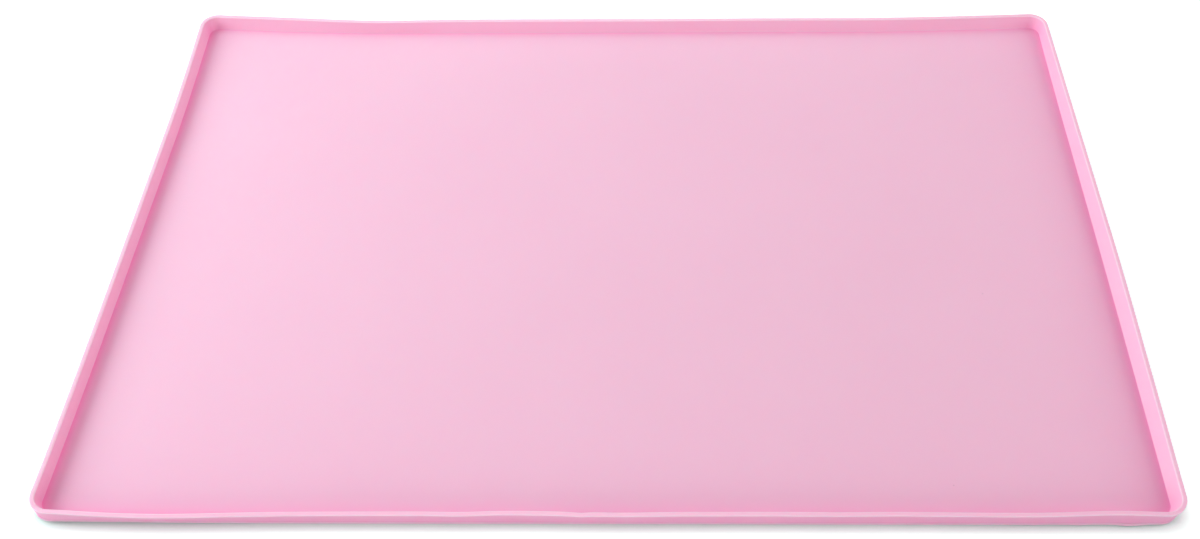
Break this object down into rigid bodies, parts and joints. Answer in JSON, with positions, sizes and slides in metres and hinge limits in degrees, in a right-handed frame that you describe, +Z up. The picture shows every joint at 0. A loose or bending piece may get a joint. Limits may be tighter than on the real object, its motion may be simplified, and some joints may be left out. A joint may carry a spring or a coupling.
{
  "type": "silicone pastry mat",
  "caption": "Soft rectangular silicone pastry mat with a flat floor and a low raised rim all round, folding in half across its length.",
  "frame": {"origin": "on the table under the middle of the mat", "axes": "+X along the mat's length to the right, +Y towards its back edge, +Z up out of the tray"},
  "size_m": [0.6, 0.4, 0.011],
  "materials": {
    "silicone": "satin, fine-grained, slightly translucent"
  },
  "bodies": {
    "left_half": {"left_half": "silicone"},
    "right_half": {"right_half": "silicone"}
  },
  "joints": [
    {"name": "fold", "type": "hinge", "parent": "left_half", "child": "right_half", "pos_m": [0, 0, 0.0115], "axis": [0, -1, 0], "range_deg": [0, 178], "stiffness_Nm_per_rad": 0.05}
  ]
}
